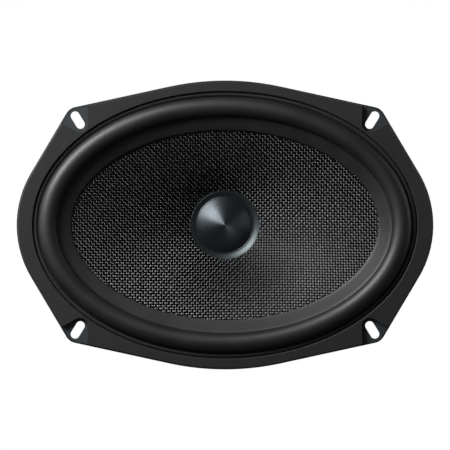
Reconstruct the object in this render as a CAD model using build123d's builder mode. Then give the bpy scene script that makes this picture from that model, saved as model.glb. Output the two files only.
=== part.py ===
from build123d import *
import os
from math import acos, atan2, cos, degrees, hypot, radians, sin, tan

# Coaxial car speaker, oval 6 x 9 inch size, in millimetres.
# The origin is the centre of the mounting plane, the rear face of the flange.
# +X runs along the long side, +Z is up, +Y is the depth behind the panel, and the cone faces -Y.

# Flange
overall_width = 237.0
overall_height = 164.3
plate_thickness = 1.2
end_arc_radius = 58.0
long_arc_radius = 148.5
slot_inset_x = 34.7
slot_inset_z = 22.45
slot_length = 10.8
slot_width = 5.1
slot_angle = 58.4
ear_radius = 7.5

# Front gasket
gasket_thickness = 3.0
gasket_rim_inset = 0.7
gasket_side_width = 9.2
gasket_top_width = 6.3
gasket_edge_round = 0.5
cutout_radius = 4.6
cutout_flare = 30.0
cutout_reach = 16.0

# Surround
surround_lip_gap = 0.4
surround_lip_width = 2.4
surround_thickness = 0.7
roll_width = 11.5
roll_height = 5.2
inner_lip_width = 7.5
inner_lip_fall = 2.4

# Cone
cone_rim_width = 6.6
cone_wall = 0.9
cone_depth = 26.0
cone_straightness = 0.75
cone_sections = 6
mouth_overlap = 0.6

# Basket
basket_wall = 1.8
roll_foot_cover = 1.6
step_depth = 6.0
shelf_depth = 38.8
shelf_thickness = 1.2
bowl_base_margin = 5.0
spoke_count = 8
spoke_width = 11.0
spoke_rib_width = 1.2
spoke_rib_height = 2.6
window_rim = 4.6
window_foot = 2.5
window_corner_radius = 3.0
cup_wall = 1.2
cup_depth = 13.2
cup_landing = 0.5
base_ring_radius = 24.0
vent_count = 8
vent_width = 13.0
vent_height = 6.0
vent_below_shelf = 2.6
vent_cut_depth = 9.6

# Motor
gap_clearance = 0.4
former_inner_radius = 15.3
former_wall = 0.3
winding_thickness = 0.6
winding_length = 12.0
former_length = 35.1
top_plate_radius = 43.5
top_plate_thickness = 6.0
magnet_radius = 46.0
magnet_bore_radius = 24.0
magnet_thickness = 16.0
back_plate_radius = 44.0
back_plate_thickness = 6.0
pole_cap_wall = 0.4
pole_cap_skirt = 8.5
pole_rise = 0.5
counterbore_radius = 9.0
counterbore_depth = 12.0
wire_groove_width = 4.4
wire_groove_depth = 3.2
wire_groove_clearance = 0.1
plate_chamfer = 0.6
magnet_chamfer = 1.0
basket_rivet_count = 4
basket_rivet_circle = 34.0
rivet_radius = 2.2
rivet_head_radius = 3.8
rivet_head_height = 1.2
rivet_grip = 4.0

# Spider
spider_outer_radius = 50.0
spider_landing = 4.6
spider_collar = 1.8
spider_rolls = 6
spider_roll_height = 1.3
spider_thickness = 0.6

# Voice coil leads
tinsel_diameter = 1.5
pad_radius = 1.4
pad_height = 1.8
pad_angle = 20.0
pad_depth = 32.6
pad_approach = 7.0

# Terminals
tab_half_width = 15.0
tab_reach = 15.0
tab_corner_radius = 2.0
board_margin = 0.5
board_thickness = 2.4
board_inset = 4.0
boss_radius = 3.4
boss_clearance = 0.1
boss_height = 0.6
blade_spacing = 19.0
blade_thickness = 0.8
blade_length = 10.0
blade_width_positive = 6.3
blade_width_negative = 4.8
blade_foot_length = 14.0
blade_hole_radius = 0.9
blade_hole_place = 6.0
blade_tip_chamfer = 1.0
blade_row_reach = 5.0
blade_rivet_to_heel = 4.8
terminal_rivet_radius = 1.5
terminal_rivet_head_radius = 2.6
terminal_rivet_head_height = 0.7
board_rivet_reach = 10.5

# Tweeter pod
pod_radius = 19.5
bezel_width = 3.0
bezel_face_depth = -8.0
bezel_lip_depth = -6.7
bezel_lip_thickness = 0.4
bezel_rear_depth = -5.5
bezel_bevel_sag = 0.45
bezel_crown_width = 0.35
housing_skin = 1.2
housing_bottom = 1.5
housing_inset = 0.5
housing_side_cover = 0.5
housing_taper_length = 5.0
housing_rear_radius = 9.5
housing_back_bulge = (0.68, 0.62)
boss_outer_radius = 7.5
boss_length = 3.0
dome_height = 8.2
dome_edge_inset = 0.3
dome_shoulder_share = 0.55
dome_shoulder_drop = 1.3
dome_bead_height = 0.5
dome_bead_width = 0.5
dome_wall = 0.35
dome_rim_overlap = 0.7
dome_rim_thickness = 0.4
suspension_thickness = 0.2
tweeter_former_inset = 1.0
tweeter_former_wall = 0.3
tweeter_former_length = 4.6
tweeter_winding_thickness = 0.4
tweeter_winding_length = 2.5
tweeter_gap_clearance = 0.4
tweeter_plate_thickness = 1.5
tweeter_plate_front = -3.0
tweeter_magnet_inset = 1.7
tweeter_magnet_thickness = 3.0
tweeter_cup_bottom = 2.0

# Post through the pole
post_radius = 4.5
post_bore_radius = 1.9
post_stem_radius = 3.5
post_stem_clearance = 0.1
post_shoulder_radius = 8.0
post_shoulder_thickness = 2.0
post_stem_below_nut = 1.0
nut_across_flats = 12.0
nut_thickness = 4.0

# Tweeter feed
wire_diameter = 1.4
capacitor_diameter = 8.0
capacitor_length = 13.0
capacitor_x = 6.0
capacitor_front_depth = 56.0
capacitor_gap = 0.2
capacitor_end_radius = 0.8
adhesive_width = 5.0
adhesive_length = 9.0

# Depths and radii that follow from the values above
half_width = overall_width / 2
half_height = overall_height / 2
slot_x = half_width - slot_inset_x
slot_z = half_height - slot_inset_z
gasket_half_width = half_width - gasket_side_width
gasket_half_height = half_height - gasket_top_width
roll_half_width = gasket_half_width - surround_lip_gap - surround_lip_width
roll_half_height = gasket_half_height - surround_lip_gap - surround_lip_width
opening_half_width = roll_half_width - roll_foot_cover
opening_half_height = roll_half_height - roll_foot_cover
shelf_rear = shelf_depth + shelf_thickness
bowl_base_radius = spider_outer_radius + bowl_base_margin
blade_row_z = -bowl_base_radius - blade_row_reach
board_rivet_z = -bowl_base_radius - board_rivet_reach
cup_inner_radius = spider_outer_radius - spider_landing + cup_landing
cup_outer_radius = cup_inner_radius + cup_wall
top_plate_front = shelf_depth + cup_depth
top_plate_rear = top_plate_front + top_plate_thickness
magnet_rear = top_plate_rear + magnet_thickness
motor_rear = magnet_rear + back_plate_thickness
former_outer_radius = former_inner_radius + former_wall
winding_outer_radius = former_outer_radius + winding_thickness
gap_outer_radius = winding_outer_radius + gap_clearance
pole_cap_radius = former_inner_radius - gap_clearance
pole_radius = pole_cap_radius - pole_cap_wall
pole_front = top_plate_front - pole_rise
pole_bore_radius = post_stem_radius + post_stem_clearance
lip_front = -plate_thickness - surround_thickness
inner_lip_front = lip_front + inner_lip_fall
mouth_offset = roll_width + inner_lip_width
mouth_half_width = roll_half_width - mouth_offset
mouth_half_height = roll_half_height - mouth_offset
mouth_depth = inner_lip_front + surround_thickness
neck_depth = mouth_depth + cone_depth
post_shoulder_rear = pole_front - pole_cap_wall
nut_front = motor_rear - counterbore_depth
post_rear = nut_front + nut_thickness + post_stem_below_nut
bezel_inner_radius = pod_radius - bezel_width
dome_edge_radius = bezel_inner_radius - dome_edge_inset
dome_rim_radius = bezel_inner_radius + dome_rim_overlap
tweeter_former_radius = dome_edge_radius - tweeter_former_inset
tweeter_magnet_radius = tweeter_former_radius - tweeter_magnet_inset
housing_radius = pod_radius - housing_inset
housing_front = bezel_rear_depth + suspension_thickness
cup_radius_outer = housing_radius - housing_skin
tweeter_former_outer = tweeter_former_radius + tweeter_former_wall
tweeter_winding_outer = tweeter_former_outer + tweeter_winding_thickness
tweeter_cup_inner = tweeter_winding_outer + tweeter_gap_clearance
tweeter_plate_rear = tweeter_plate_front + tweeter_plate_thickness
tweeter_magnet_rear = tweeter_plate_rear + tweeter_magnet_thickness
tweeter_cup_rear = tweeter_magnet_rear + tweeter_cup_bottom
housing_floor_rear = tweeter_cup_rear + housing_bottom
housing_taper_start = tweeter_cup_rear + housing_side_cover
housing_rear_depth = housing_taper_start + housing_taper_length
boss_rear_depth = housing_rear_depth + boss_length
dome_rim_front = bezel_rear_depth - dome_rim_thickness
capacitor_radius = capacitor_diameter / 2
capacitor_reach = magnet_radius + capacitor_gap + capacitor_radius
capacitor_z = -((capacitor_reach**2 - capacitor_x**2) ** 0.5)
board_rear = shelf_rear + board_thickness
blade_rear = board_rear + blade_thickness

os.makedirs("parts", exist_ok=True)


def finish(part, name):
    part.label = name
    export_step(part, f"parts/{name}.step")


def facing(depth):
    # Sketch plane square to the speaker's axis, seen from the front; extruding goes towards the front
    return Plane.XZ.offset(-depth)


def ring(rear_depth, thickness, outer_radius, inner_radius):
    with BuildSketch(facing(rear_depth)) as section:
        Circle(outer_radius)
        Circle(inner_radius, mode=Mode.SUBTRACT)
    extrude(section.sketch, amount=thickness)


def oval_ring(rear_depth, thickness, outer, inner):
    with BuildSketch(facing(rear_depth)) as section:
        Ellipse(*outer)
        Ellipse(*inner, mode=Mode.SUBTRACT)
    extrude(section.sketch, amount=thickness)


def slot_places():
    # Centre and tilt of each of the four screw slots, which point at the speaker's middle
    return [(sx * slot_x, sz * slot_z, sx * sz * slot_angle) for sx in (-1, 1) for sz in (-1, 1)]


def flange_outline():
    # Hull of the four ears, the round ends and the long shallow arcs above and below
    drop = long_arc_radius - half_height
    reach = hypot(slot_x, slot_z + drop)
    half_turn = degrees(atan2(slot_x, slot_z + drop) - acos((long_arc_radius - ear_radius) / reach))
    with BuildLine() as outline:
        for x, z, _ in slot_places():
            CenterArc((x, z), ear_radius, 0, 360)
        for side in (-1, 1):
            CenterArc((side * (half_width - end_arc_radius), 0), end_arc_radius, 0, 360)
            CenterArc((0, -side * drop), long_arc_radius, side * 90 - half_turn, 2 * half_turn)
    make_hull(outline.edges())


def swept_round_roll(corners, arcs):
    # Sweeps a section round the oval of the roll's outer foot; section points are (outward, depth)
    with BuildLine(Plane.XZ) as path:
        EllipticalCenterArc((0, 0), roll_half_width, roll_half_height, start_angle=0, arc_size=360)
    with BuildSketch(Plane(origin=(roll_half_width, 0, 0), x_dir=(1, 0, 0), z_dir=(0, 0, 1))) as section:
        with BuildLine():
            for start, end in zip(corners, corners[1:] + corners[:1]):
                if (start, end) in arcs:
                    ThreePointArc(start, arcs[start, end], end)
                else:
                    Line(start, end)
        make_face()
    sweep(section.sketch, path=path.line)


def bowl(margin, shift, mode=Mode.ADD):
    # Solid body of the basket's wall, oval in front and round at the shelf
    with BuildSketch(facing(step_depth + shift)) as mouth:
        Ellipse(opening_half_width + margin, opening_half_height + margin)
    with BuildSketch(facing(shelf_depth + shift)) as base:
        Circle(bowl_base_radius + margin)
    loft([mouth.sketch, base.sketch], ruled=True, mode=mode)


def wire(points, diameter, name):
    # A lead of straight runs joined by tangent arcs, as large as the two runs beside each corner allow
    runs = [Vector(*b) - Vector(*a) for a, b in zip(points, points[1:])]
    radii = []
    for before, after in zip(runs, runs[1:]):
        shorter = min(before.length, after.length)
        radii.append(0.45 * shorter / tan(radians(before.get_angle(after)) / 2))
    with BuildLine() as path:
        route = FilletPolyline(*points, radius=radii)
    with BuildSketch(Plane(origin=route @ 0, z_dir=route % 0)) as section:
        Circle(diameter / 2)
    sweep(section.sketch, path=path.line)
    print(name, "length", round(route.length, 1), "arc radii", [round(r, 1) for r in radii])


# Basket: one stamping with the flange, the oval bowl with its windows, the spider shelf and the motor cup
with BuildPart() as spoke_ribs:
    bowl(basket_wall, spoke_rib_height)
    bowl(basket_wall, 0, mode=Mode.SUBTRACT)
    with BuildSketch(facing(shelf_rear)):
        with PolarLocations(0, spoke_count):
            for side in (-1, 1):
                with Locations((0, side * (spoke_width - spoke_rib_width) / 2)):
                    Rectangle(half_width, spoke_rib_width, align=(Align.MIN, Align.CENTER))
        Circle(bowl_base_radius, mode=Mode.SUBTRACT)
        Ellipse(opening_half_width, opening_half_height, mode=Mode.INTERSECT)
    extrude(amount=shelf_rear, mode=Mode.INTERSECT)

with BuildPart() as basket:
    bowl(basket_wall, 0)
    bowl(0, 0, mode=Mode.SUBTRACT)
    add(spoke_ribs.part)
    with BuildSketch(facing(shelf_depth)) as windows:
        Ellipse(opening_half_width - window_rim, opening_half_height - window_rim)
        Circle(bowl_base_radius + window_foot, mode=Mode.SUBTRACT)
        with PolarLocations(0, spoke_count):
            Rectangle(half_width, spoke_width, align=(Align.MIN, Align.CENTER), mode=Mode.SUBTRACT)
        fillet(windows.vertices(), window_corner_radius)
    extrude(amount=shelf_depth, mode=Mode.SUBTRACT)
    oval_ring(
        step_depth,
        step_depth,
        (opening_half_width + basket_wall, opening_half_height + basket_wall),
        (opening_half_width, opening_half_height),
    )
    with BuildSketch(facing(0)):
        flange_outline()
        Ellipse(opening_half_width, opening_half_height, mode=Mode.SUBTRACT)
        for x, z, tilt in slot_places():
            with Locations((x, z)):
                SlotOverall(slot_length, slot_width, rotation=tilt, mode=Mode.SUBTRACT)
    extrude(amount=plate_thickness)
    ring(shelf_rear, shelf_thickness, bowl_base_radius + basket_wall, cup_inner_radius)
    ring(top_plate_front, top_plate_front - shelf_rear, cup_outer_radius, cup_inner_radius)
    ring(top_plate_front, cup_wall, cup_outer_radius, base_ring_radius)
    with BuildSketch(facing(shelf_rear + vent_below_shelf + vent_height)):
        with PolarLocations(cup_outer_radius, vent_count, start_angle=180 / vent_count):
            Rectangle(vent_cut_depth, vent_width)
    extrude(amount=vent_height, mode=Mode.SUBTRACT)
    with BuildSketch(facing(shelf_rear)) as tab:
        with Locations((0, -bowl_base_radius)):
            RectangleRounded(2 * tab_half_width, 2 * tab_reach, tab_corner_radius)
        Circle(bowl_base_radius, mode=Mode.SUBTRACT)
    extrude(amount=shelf_thickness)
    with BuildSketch(facing(shelf_rear)):
        with Locations((-blade_spacing / 2, blade_row_z), (blade_spacing / 2, blade_row_z)):
            Circle(boss_radius + boss_clearance)
        with Locations((0, board_rivet_z)):
            Circle(terminal_rivet_radius)
    extrude(amount=shelf_thickness, mode=Mode.SUBTRACT)
    with BuildSketch(facing(top_plate_front)):
        with PolarLocations(basket_rivet_circle, basket_rivet_count, start_angle=45):
            Circle(rivet_radius)
    extrude(amount=cup_wall, mode=Mode.SUBTRACT)
finish(basket.part, "basket")

# Front gasket: moulded trim round the flange, cut away at each screw slot
with BuildPart() as front_gasket:
    with BuildSketch(facing(-plate_thickness)):
        flange_outline()
        offset(amount=-gasket_rim_inset)
        Ellipse(gasket_half_width, gasket_half_height, mode=Mode.SUBTRACT)
    extrude(amount=gasket_thickness)
    front_edges = front_gasket.faces().sort_by(Axis.Y)[0].edges()
    fillet(front_edges, gasket_edge_round)
    for x, z, tilt in slot_places():
        along = Vector(cos(radians(tilt)), sin(radians(tilt))) * (1 if x > 0 else -1)
        inner_end = Vector(x, z) - along * (slot_length - slot_width) / 2
        far_radius = cutout_radius + cutout_reach * sin(radians(cutout_flare))
        far_end = inner_end + along * cutout_reach
        with BuildSketch(facing(-plate_thickness)):
            with BuildLine():
                CenterArc((inner_end.X, inner_end.Y), cutout_radius, 0, 360)
                CenterArc((far_end.X, far_end.Y), far_radius, 0, 360)
            make_hull()
        extrude(amount=gasket_thickness, mode=Mode.SUBTRACT)
finish(front_gasket.part, "front_gasket")

# Surround: half roll with a flat outer lip on the flange and a sloping inner lip on the cone
lip_outer = (surround_lip_width, lip_front)
foot_outer = (0, lip_front)
crest = (-roll_width / 2, lip_front - roll_height)
foot_inner = (-roll_width, lip_front)
mouth_front = (-mouth_offset, inner_lip_front)
mouth_rear = (-mouth_offset, inner_lip_front + surround_thickness)
foot_inner_rear = (-roll_width + surround_thickness, -plate_thickness)
crest_rear = (-roll_width / 2, lip_front - roll_height + surround_thickness)
foot_outer_rear = (-surround_thickness, -plate_thickness)
lip_outer_rear = (surround_lip_width, -plate_thickness)
with BuildPart() as surround:
    swept_round_roll(
        [
            lip_outer,
            foot_outer,
            foot_inner,
            mouth_front,
            mouth_rear,
            foot_inner_rear,
            foot_outer_rear,
            lip_outer_rear,
        ],
        {(foot_outer, foot_inner): crest, (foot_inner_rear, foot_outer_rear): crest_rear},
    )
finish(surround.part, "surround")


def lip_rear(outward):
    # Depth of the rear of the surround's inner lip at a place across it
    start, end = foot_inner_rear, mouth_rear
    return start[1] + (end[1] - start[1]) * (start[0] - outward) / (start[0] - end[0])


def cone_body(shift, mode=Mode.ADD):
    # Solid body of the cone's hollow, from the oval mouth to the round neck
    mouth = (mouth_half_width + mouth_overlap, mouth_half_height + mouth_overlap)
    sections = []
    for step in range(cone_sections + 1):
        share = step / cone_sections
        depth = mouth_depth + cone_depth * share * (cone_straightness + (1 - cone_straightness) * share)
        with BuildSketch(facing(depth + shift)) as section:
            Ellipse(*(half + (former_outer_radius - half) * share for half in mouth))
        sections.append(section.sketch)
    loft(sections, mode=mode)


# Cone: oval woven bowl with a glue rim under the surround's inner lip and a round neck on the coil
rim_outer = -mouth_offset + cone_rim_width
rim_inner = -mouth_offset - mouth_overlap
with BuildPart() as cone:
    cone_body(cone_wall)
    cone_body(0, mode=Mode.SUBTRACT)
    with BuildSketch(facing(neck_depth + cone_wall)):
        Circle(former_outer_radius)
    extrude(amount=cone_depth, mode=Mode.SUBTRACT)
    swept_round_roll(
        [
            (rim_outer, lip_rear(rim_outer)),
            (rim_inner, lip_rear(rim_inner)),
            (rim_inner, lip_rear(rim_inner) + cone_wall),
            (rim_outer, lip_rear(rim_outer) + cone_wall),
        ],
        {},
    )
finish(cone.part, "cone")

# Voice coil: former glued in the cone's neck, winding in the gap
former_front = neck_depth
former_rear = former_front + former_length
winding_middle = (top_plate_front + top_plate_rear) / 2
with BuildPart() as voice_coil_former:
    ring(former_rear, former_length, former_outer_radius, former_inner_radius)
finish(voice_coil_former.part, "voice_coil_former")

with BuildPart() as voice_coil_winding:
    ring(winding_middle + winding_length / 2, winding_length, winding_outer_radius, former_outer_radius)
finish(voice_coil_winding.part, "voice_coil_winding")

# Spider: corrugated cloth disc from the former to the basket's shelf
spider_front = shelf_depth - spider_thickness
roll_start = former_outer_radius + spider_collar
roll_pitch = (spider_outer_radius - spider_landing - roll_start) / (2 * spider_rolls)
with BuildPart() as spider:
    with BuildSketch(Plane.XY):
        with BuildLine():
            for shift in (0, spider_thickness):
                Line((former_outer_radius, spider_front + shift), (roll_start, spider_front + shift))
                for fold in range(2 * spider_rolls):
                    radius = roll_start + fold * roll_pitch
                    rise = spider_roll_height * (1 if fold % 2 else -1)
                    Bezier(
                        (radius, spider_front + shift),
                        (radius + roll_pitch / 2, spider_front + shift + 2 * rise),
                        (radius + roll_pitch, spider_front + shift),
                    )
                Line(
                    (spider_outer_radius - spider_landing, spider_front + shift),
                    (spider_outer_radius, spider_front + shift),
                )
            for radius in (former_outer_radius, spider_outer_radius):
                Line((radius, spider_front), (radius, spider_front + spider_thickness))
        make_face()
    revolve(axis=Axis.Y)
finish(spider.part, "spider")

# Solder pads on the former, where the flexible leads end
with BuildPart() as lead_pads:
    for side in (-1, 1):
        radial = Vector(side * sin(radians(pad_angle)), 0, -cos(radians(pad_angle)))
        face_centre = radial * (former_outer_radius + pad_height) + Vector(0, pad_depth, 0)
        with BuildSketch(Plane(origin=face_centre, x_dir=(0, 1, 0), z_dir=radial)):
            Circle(pad_radius)
        extrude(amount=-2 * pad_height)
    with BuildSketch(facing(former_rear)):
        Circle(former_outer_radius)
    extrude(amount=former_length, mode=Mode.SUBTRACT)
finish(lead_pads.part, "lead_pads")

# Flexible tinsel leads, from the terminal rivets through a window and between cone and spider to the pads
boss_front = shelf_depth - boss_height
rivet_tip = boss_front - terminal_rivet_head_height
pad_radial = (sin(radians(pad_angle)), -cos(radians(pad_angle)))
pad_reach = former_outer_radius + pad_height
pad_approach_reach = pad_reach + pad_approach
for side, name in ((1, "tinsel_lead_positive"), (-1, "tinsel_lead_negative")):
    with BuildPart() as tinsel_lead:
        wire(
            [
                (side * blade_spacing / 2, rivet_tip, blade_row_z),
                (side * blade_spacing / 2, 33.0, blade_row_z),
                (side * 10.1, 29.3, -56.4),
                (side * 10.2, 29.8, -50.0),
                (side * 9.7, 31.6, -44.4),
                (side * 9.9, 31.4, -38.0),
                (side * 9.6, 32.5, -31.6),
                (side * pad_approach_reach * pad_radial[0], pad_depth, pad_approach_reach * pad_radial[1]),
                (side * pad_reach * pad_radial[0], pad_depth, pad_reach * pad_radial[1]),
            ],
            tinsel_diameter,
            name,
        )
    finish(tinsel_lead.part, name)

# Terminal board on the basket's tab, with two blades and three rivets
tab_edge_z = -bowl_base_radius - tab_reach
board_top_z = -cup_outer_radius - board_inset
with BuildPart() as terminal_board:
    with BuildSketch(facing(board_rear)):
        with Locations((0, (tab_edge_z + board_margin + board_top_z) / 2)):
            RectangleRounded(
                2 * (tab_half_width - board_margin),
                board_top_z - tab_edge_z - board_margin,
                tab_corner_radius,
            )
    extrude(amount=board_thickness)
    with BuildSketch(facing(shelf_rear)):
        with Locations((-blade_spacing / 2, blade_row_z), (blade_spacing / 2, blade_row_z)):
            Circle(boss_radius)
    extrude(amount=shelf_thickness + boss_height)
    with BuildSketch(facing(board_rear)):
        with Locations(
            (-blade_spacing / 2, blade_row_z),
            (blade_spacing / 2, blade_row_z),
            (0, board_rivet_z),
        ):
            Circle(terminal_rivet_radius)
    extrude(amount=board_thickness + shelf_thickness + boss_height, mode=Mode.SUBTRACT)
finish(terminal_board.part, "terminal_board")

heel_z = blade_row_z - blade_rivet_to_heel
for side, width, name in (
    (1, blade_width_positive, "terminal_blade_positive"),
    (-1, blade_width_negative, "terminal_blade_negative"),
):
    middle = side * blade_spacing / 2
    with BuildPart() as terminal_blade:
        with BuildSketch(Plane.YZ.offset(middle)):
            with BuildLine():
                Polyline(
                    (board_rear, heel_z),
                    (board_rear, heel_z + blade_foot_length),
                    (blade_rear, heel_z + blade_foot_length),
                    (blade_rear, heel_z + blade_thickness),
                    (blade_rear + blade_length, heel_z + blade_thickness),
                    (blade_rear + blade_length, heel_z),
                    close=True,
                )
            make_face()
        extrude(amount=width / 2, both=True)
        tip_corners = terminal_blade.edges().filter_by(Axis.Z).group_by(Axis.Y)[-1]
        chamfer(tip_corners, blade_tip_chamfer)
        with BuildSketch(facing(blade_rear)):
            with Locations((middle, blade_row_z)):
                Circle(terminal_rivet_radius)
        extrude(amount=blade_thickness, mode=Mode.SUBTRACT)
        with BuildSketch(Plane.XY.offset(heel_z)):
            with Locations((middle, blade_rear + blade_hole_place)):
                Circle(blade_hole_radius)
        extrude(amount=blade_thickness, mode=Mode.SUBTRACT)
    finish(terminal_blade.part, name)

with BuildPart() as terminal_rivets:
    for x, z, front, rear in (
        (-blade_spacing / 2, blade_row_z, boss_front, blade_rear),
        (blade_spacing / 2, blade_row_z, boss_front, blade_rear),
        (0, board_rivet_z, shelf_depth, board_rear),
    ):
        for head_rear in (front, rear + terminal_rivet_head_height):
            with BuildSketch(facing(head_rear)):
                with Locations((x, z)):
                    Circle(terminal_rivet_head_radius)
            extrude(amount=terminal_rivet_head_height)
        with BuildSketch(facing(rear)):
            with Locations((x, z)):
                Circle(terminal_rivet_radius)
        extrude(amount=rear - front)
finish(terminal_rivets.part, "terminal_rivets")

# Motor: top plate, ferrite ring, back plate with the pole, and the copper cap on the pole
with BuildPart() as top_plate:
    ring(top_plate_rear, top_plate_thickness, top_plate_radius, gap_outer_radius)
    chamfer(top_plate.edges().filter_by(GeomType.CIRCLE).group_by(SortBy.RADIUS)[-1], plate_chamfer)
    with BuildSketch(facing(top_plate_front + rivet_grip)):
        with PolarLocations(basket_rivet_circle, basket_rivet_count, start_angle=45):
            Circle(rivet_radius)
    extrude(amount=rivet_grip, mode=Mode.SUBTRACT)
finish(top_plate.part, "top_plate")

with BuildPart() as basket_rivets:
    with BuildSketch(facing(top_plate_front + rivet_grip)):
        with PolarLocations(basket_rivet_circle, basket_rivet_count, start_angle=45):
            Circle(rivet_radius)
    extrude(amount=rivet_grip + cup_wall)
    with BuildSketch(facing(top_plate_front - cup_wall)):
        with PolarLocations(basket_rivet_circle, basket_rivet_count, start_angle=45):
            Circle(rivet_head_radius)
    extrude(amount=rivet_head_height)
finish(basket_rivets.part, "basket_rivets")

with BuildPart() as ferrite_magnet:
    ring(magnet_rear, magnet_thickness, magnet_radius, magnet_bore_radius)
    chamfer(ferrite_magnet.edges().filter_by(GeomType.CIRCLE).group_by(SortBy.RADIUS)[-1], magnet_chamfer)
finish(ferrite_magnet.part, "ferrite_magnet")

with BuildPart() as back_plate:
    ring(motor_rear, back_plate_thickness, back_plate_radius, pole_bore_radius)
    chamfer(back_plate.edges().filter_by(GeomType.CIRCLE).group_by(SortBy.RADIUS)[-1], plate_chamfer)
    ring(magnet_rear, magnet_rear - pole_front, pole_radius, pole_bore_radius)
    with BuildSketch(facing(motor_rear)):
        Circle(counterbore_radius)
    extrude(amount=counterbore_depth, mode=Mode.SUBTRACT)
    with BuildSketch(facing(motor_rear)):
        with Locations((0, -back_plate_radius / 2)):
            Rectangle(wire_groove_width, back_plate_radius)
    extrude(amount=wire_groove_depth, mode=Mode.SUBTRACT)
finish(back_plate.part, "back_plate")

with BuildPart() as pole_cap:
    with BuildSketch(Plane.XY):
        with BuildLine():
            Polyline(
                (pole_bore_radius, post_shoulder_rear),
                (pole_cap_radius, post_shoulder_rear),
                (pole_cap_radius, post_shoulder_rear + pole_cap_skirt),
                (pole_radius, post_shoulder_rear + pole_cap_skirt),
                (pole_radius, pole_front),
                (pole_bore_radius, pole_front),
                close=True,
            )
        make_face()
    revolve(axis=Axis.Y)
finish(pole_cap.part, "pole_cap")

# Post: hollow, shouldered on the pole, with its nut in the back plate's counterbore
with BuildPart() as tweeter_post:
    with BuildSketch(Plane.XY):
        with BuildLine():
            Polyline(
                (post_bore_radius, housing_floor_rear),
                (post_radius, housing_floor_rear),
                (post_radius, post_shoulder_rear - post_shoulder_thickness),
                (post_shoulder_radius, post_shoulder_rear - post_shoulder_thickness),
                (post_shoulder_radius, post_shoulder_rear),
                (post_stem_radius, post_shoulder_rear),
                (post_stem_radius, post_rear),
                (post_bore_radius, post_rear),
                close=True,
            )
        make_face()
    revolve(axis=Axis.Y)
finish(tweeter_post.part, "tweeter_post")

with BuildPart() as post_nut:
    with BuildSketch(facing(nut_front + nut_thickness)):
        RegularPolygon(nut_across_flats / 2, 6, major_radius=False)
        Circle(post_stem_radius, mode=Mode.SUBTRACT)
    extrude(amount=nut_thickness)
finish(post_nut.part, "post_nut")

# Tweeter: housing on the post, its own small motor, the metal dome and the bevelled ring
with BuildPart() as tweeter_housing:
    with BuildSketch(Plane.XY):
        with BuildLine():
            Polyline(
                (post_radius, boss_rear_depth),
                (post_radius, housing_floor_rear),
                (post_bore_radius, housing_floor_rear),
                (post_bore_radius, tweeter_cup_rear),
                (cup_radius_outer, tweeter_cup_rear),
                (cup_radius_outer, housing_front),
                (housing_radius, housing_front),
                (housing_radius, housing_taper_start),
            )
            ThreePointArc(
                (housing_radius, housing_taper_start),
                (
                    housing_rear_radius + (housing_radius - housing_rear_radius) * housing_back_bulge[0],
                    housing_taper_start + housing_taper_length * housing_back_bulge[1],
                ),
                (housing_rear_radius, housing_rear_depth),
            )
            Polyline(
                (housing_rear_radius, housing_rear_depth),
                (boss_outer_radius, housing_rear_depth),
                (boss_outer_radius, boss_rear_depth),
                (post_radius, boss_rear_depth),
            )
        make_face()
    revolve(axis=Axis.Y)
finish(tweeter_housing.part, "tweeter_housing")

with BuildPart() as tweeter_pole_cup:
    ring(tweeter_cup_rear, tweeter_cup_bottom, cup_radius_outer, post_bore_radius)
    ring(tweeter_magnet_rear, tweeter_magnet_rear - tweeter_plate_front, cup_radius_outer, tweeter_cup_inner)
finish(tweeter_pole_cup.part, "tweeter_pole_cup")

with BuildPart() as tweeter_magnet:
    with BuildSketch(facing(tweeter_magnet_rear)):
        Circle(tweeter_magnet_radius)
    extrude(amount=tweeter_magnet_thickness)
finish(tweeter_magnet.part, "tweeter_magnet")

with BuildPart() as tweeter_top_plate:
    with BuildSketch(facing(tweeter_plate_rear)):
        Circle(tweeter_former_radius - tweeter_gap_clearance)
    extrude(amount=tweeter_plate_thickness)
finish(tweeter_top_plate.part, "tweeter_top_plate")

with BuildPart() as tweeter_bezel:
    bevel_middle = (pod_radius + bezel_inner_radius) / 2
    bevel_depth = (bezel_face_depth + bezel_lip_depth) / 2
    with BuildSketch(Plane.XY):
        with BuildLine():
            Polyline(
                (bezel_inner_radius, bezel_lip_depth),
                (bezel_inner_radius, bezel_lip_depth + bezel_lip_thickness),
                (dome_rim_radius + bezel_lip_thickness, bezel_lip_depth + bezel_lip_thickness),
                (dome_rim_radius + bezel_lip_thickness, bezel_rear_depth),
                (pod_radius, bezel_rear_depth),
                (pod_radius, bezel_face_depth + bezel_crown_width),
                (pod_radius - bezel_crown_width, bezel_face_depth),
            )
            ThreePointArc(
                (pod_radius - bezel_crown_width, bezel_face_depth),
                (bevel_middle, bevel_depth + bezel_bevel_sag),
                (bezel_inner_radius, bezel_lip_depth),
            )
        make_face()
    revolve(axis=Axis.Y)
finish(tweeter_bezel.part, "tweeter_bezel")

dome_foot = dome_rim_front - dome_bead_height
dome_tip = dome_foot - dome_height
dome_bulge = (dome_edge_radius * dome_shoulder_share, dome_tip + dome_shoulder_drop)
with BuildPart() as tweeter_dome:
    with BuildSketch(Plane.XY):
        with BuildLine():
            Bezier((0, dome_tip), dome_bulge, (dome_edge_radius - dome_bead_width, dome_foot))
            Polyline(
                (dome_edge_radius - dome_bead_width, dome_foot),
                (dome_edge_radius, dome_foot),
                (dome_edge_radius, dome_rim_front),
                (dome_rim_radius, dome_rim_front),
                (dome_rim_radius, bezel_rear_depth),
                (tweeter_former_radius - dome_wall, bezel_rear_depth),
                (tweeter_former_radius - dome_wall, dome_foot + dome_wall),
            )
            Bezier(
                (tweeter_former_radius - dome_wall, dome_foot + dome_wall),
                (dome_bulge[0] - dome_wall, dome_bulge[1] + dome_wall),
                (0, dome_tip + dome_wall),
            )
            Line((0, dome_tip + dome_wall), (0, dome_tip))
        make_face()
    revolve(axis=Axis.Y)
finish(tweeter_dome.part, "tweeter_dome")

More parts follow.
